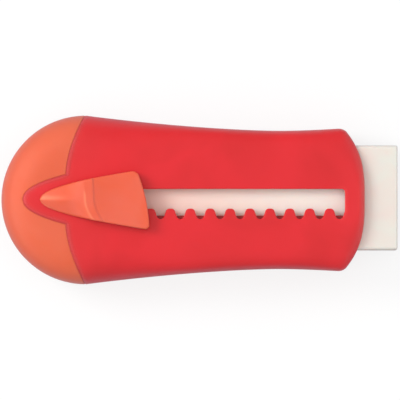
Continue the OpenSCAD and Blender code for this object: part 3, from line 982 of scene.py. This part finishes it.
# Plasticised vinyl, pressed into a bar and cut: a dull, waxy skin with a coarser grain, in which the
# light sinks in deeper than in the hard plastics
vinylLook = dict(caseLook, colour="ebe0d8", second="e8e5dc", cloudSize=6, grainSize=0.5,
                 grainStrength=0.25, roughness=0.6, specular=0.35, glow=0.6,
                 glowRadius=(1, 0.8, 0.7), glowDepth=1.5, softEdge=0.4)
# painted light on the case: a paler colour painted as a highlight on the edges at both ends, and a dark
# colour painted as shade on the groove floor and the notch shelf
casePaintedLight = {
    "paintedEdgeHighlight": "ff6460",
    "paintedShade": "7e1a16",
    "edgeHighlightWidth": 1.5,
    "fade": 0.045,
    "edgeHighlightStrength": 0.6,
    "edgeHighlightMiddle": 45 + rearX,
    "edgeHighlightFrom": 22,
    "edgeHighlightTo": 28,
}
# painted light on the block: brighter under the case, pinker and darker towards the button
vinylPaintedLight = {
    "paintedSlotLight": "fff6ec",
    "paintedButtonShade": "ffd8cc",
    "buttonShadeFrom": 27.5 + rearX,
    "buttonShadeTo": 59.5 + rearX,
    "slotLightTo": 69.5 + rearX,
    "usedFrom": 73.5 + rearX,
}

plastics = {
    case: mouldedPlastic("redAbs", {**caseLook, **casePaintedLight}),
    cap: mouldedPlastic("orangeAbs", capLook),
    pad: mouldedPlastic("orangeButtonAbs", buttonLook),
    block: mouldedPlastic("whiteVinyl", {**vinylLook, **vinylPaintedLight}),
}
hidden = [bpy.data.objects[name] for name in ("eraser_holder", "detent_finger")]
for piece in (*plastics, *hidden):
    piece.data.materials.clear()
    piece.data.materials.append(plastics.get(piece, plastics[pad]))
print("plastics ready")

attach(case, "casing")
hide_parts("case_sleeve")
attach(cap, "casing")
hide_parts("end_cap")
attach(pad, "slider")
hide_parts("thumb_button")
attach(block, "slider")
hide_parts("eraser_block")

studio = {
    "photoScale": 0.2017,       # mm of the object for each of the photo's px
    "photoWidth": 400,
    "filmWidth": 36,
    "target": (0.14, 0, 8.05),
    "elevation": 89,
    "lens": 1200,
    "zenithLight": 1.0,
    "wallLight": 1.05,
    "lowLight": 0.18,
    "zenithSheen": 0.5,
    "wallSheen": 2.1,
    "lowSheen": 0.7,
    "keyPower": 1.6,
    "keyPlace": (-0.4, 0.17, 0.42),
    "keySize": 0.25,
    "keySheen": 1.2,
    "keySpread": 0.8,
    "horizon": (0.1, 0.95),
    "paleFloor": 0.8,
    "backSheen": 0.75,
    "cardFacing": (0.5, 1, 0),
    "cardEdge": (0.01, 0.05),
}


def makeWorld():
    # light tent: brightest overhead, with pale walls left and right of the table and dark ends
    world = bpy.data.worlds.new("lightTent")
    bpy.context.scene.world = world
    world.use_nodes = True
    tree = world.node_tree
    tree.nodes.clear()
    look = addNode(tree, "ShaderNodeTexCoord").outputs["Generated"]
    axes = addNode(tree, "ShaderNodeSeparateXYZ", inputs={"Vector": look})
    across = addNode(tree, "ShaderNodeMath", {"operation": "MULTIPLY"}, {
        0: axes.outputs["X"], 1: axes.outputs["X"]})
    high = addNode(tree, "ShaderNodeMapRange", inputs={
        "Value": axes.outputs["Z"], "From Min": studio["horizon"][0], "From Max": studio["horizon"][1]})
    tones = []
    for kind in ("Light", "Sheen"):
        low = addNode(tree, "ShaderNodeMix", {"data_type": "FLOAT"}, {
            0: across.outputs[0], 2: studio["low" + kind], 3: studio["wall" + kind]})
        tones.append(addNode(tree, "ShaderNodeMix", {"data_type": "FLOAT"}, {
            0: high.outputs["Result"], 2: low.outputs[0], 3: studio["zenith" + kind]}).outputs[0])
    toKey = Vector(studio["keyPlace"]).normalized()
    aim = addNode(tree, "ShaderNodeVectorMath", {"operation": "DOT_PRODUCT"}, {0: look, 1: toKey})
    softbox = addNode(tree, "ShaderNodeMapRange", {"interpolation_type": "SMOOTHSTEP"}, {
        "Value": aim.outputs["Value"], "From Min": studio["keySpread"], "From Max": 1,
        "To Max": studio["keySheen"]})
    tones[1] = addNode(tree, "ShaderNodeMath", inputs={
        0: tones[1], 1: softbox.outputs["Result"]}).outputs[0]
    path = addNode(tree, "ShaderNodeLightPath")
    room = addNode(tree, "ShaderNodeMix", {"data_type": "FLOAT"}, {
        0: path.outputs["Is Glossy Ray"], 2: tones[0], 3: tones[1]})
    seen = addNode(tree, "ShaderNodeMix", {"data_type": "FLOAT"}, {
        0: path.outputs["Is Camera Ray"], 2: room.outputs[0], 3: 1})
    back = addNode(tree, "ShaderNodeBackground", inputs={
        "Color": (1, 1, 1, 1), "Strength": seen.outputs[0]})
    addNode(tree, "ShaderNodeOutputWorld", inputs={"Surface": back.outputs["Background"]})


def makeFloor():
    # pale to the eye, but a mid grey table to the light that it throws back
    bpy.ops.mesh.primitive_plane_add(size=3)
    floor = startPiece("floor")
    material = newMaterial("paleFloor")
    tree = material.node_tree
    path = addNode(tree, "ShaderNodeLightPath")
    sheet = addNode(tree, "ShaderNodeMix", {"data_type": "RGBA"}, {
        0: path.outputs["Is Glossy Ray"], 6: linear("8f8b90"), 7: linear("cfc6d2")})
    tone = addNode(tree, "ShaderNodeMix", {"data_type": "RGBA"}, {
        0: path.outputs["Is Camera Ray"], 6: sheet.outputs[2], 7: linear("ffffff")})
    paper = addNode(tree, "ShaderNodeBsdfDiffuse", inputs={"Color": tone.outputs[2]})
    glow = addNode(tree, "ShaderNodeEmission", inputs={"Color": (1, 1, 1, 1), "Strength": 1})
    pale = addNode(tree, "ShaderNodeMath", {"operation": "MULTIPLY"}, {
        0: path.outputs["Is Camera Ray"], 1: studio["paleFloor"]})
    # a white card on the far side and at the right only shows in the sheen
    place = addNode(tree, "ShaderNodeTexCoord").outputs["Object"]
    beyond = addNode(tree, "ShaderNodeVectorMath", {"operation": "DOT_PRODUCT"}, {
        0: place, 1: studio["cardFacing"]})
    card = addNode(tree, "ShaderNodeMapRange", inputs={
        "Value": beyond.outputs["Value"], "From Min": studio["cardEdge"][0],
        "From Max": studio["cardEdge"][1], "To Max": studio["backSheen"]})
    shine = addNode(tree, "ShaderNodeMath", {"operation": "MULTIPLY_ADD"}, {
        0: card.outputs["Result"], 1: path.outputs["Is Glossy Ray"], 2: pale.outputs[0]})
    shader = addNode(tree, "ShaderNodeMixShader", inputs={
        0: shine.outputs[0], 1: paper.outputs["BSDF"], 2: glow.outputs["Emission"]})
    addNode(tree, "ShaderNodeOutputMaterial", inputs={"Surface": shader.outputs["Shader"]})
    floor.data.materials.append(material)


def makeStudio():
    scene = bpy.context.scene
    scene.view_settings.view_transform = "Standard"
    makeWorld()
    makeFloor()
    target = Vector(studio["target"]) * mm
    bpy.ops.object.light_add(type="AREA", location=studio["keyPlace"])
    key = bpy.context.object
    key.name = "keyLight"
    key.data.energy = studio["keyPower"]
    key.data.size = studio["keySize"]
    key.visible_glossy = False
    key.rotation_euler = (target - key.location).to_track_quat("-Z", "Y").to_euler()

    tilt = math.radians(studio["elevation"])
    seenWidth = studio["photoScale"] * studio["photoWidth"] * mm
    distance = seenWidth * studio["lens"] / studio["filmWidth"]
    place = target + Vector((0, -math.cos(tilt), math.sin(tilt))) * distance
    bpy.ops.object.camera_add(location=place)
    camera = bpy.context.object
    camera.data.lens = studio["lens"]
    camera.data.sensor_width = studio["filmWidth"]
    camera.rotation_euler = (target - place).to_track_quat("-Z", "Y").to_euler()
    scene.camera = camera


makeStudio()
print("studio ready")
